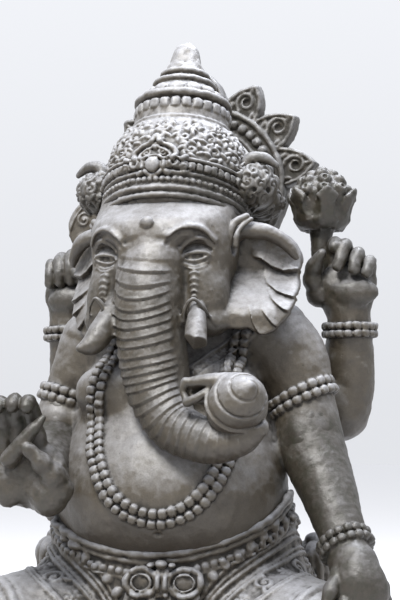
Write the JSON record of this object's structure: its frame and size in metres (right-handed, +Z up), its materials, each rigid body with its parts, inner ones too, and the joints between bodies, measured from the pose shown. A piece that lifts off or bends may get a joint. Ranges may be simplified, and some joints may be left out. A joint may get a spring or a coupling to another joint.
{
  "type": "ganesha statue",
  "caption": "Seated four-armed Ganesha garden statue in cast cement, with a crown, an arch behind it and a low base.",
  "frame": {"origin": "middle of the flat underside of the base", "axes": "+Z up, the body faces -Y, +X is the figure's left"},
  "size_m": [0.8607, 0.6782, 1.4213],
  "materials": {
    "cement": "aged cast cement, grey, worn smooth and slightly satin, with dark soot in the hollows and some moss"
  },
  "bodies": {
    "root": {"statue": "cement"}
  },
  "joints": []
}
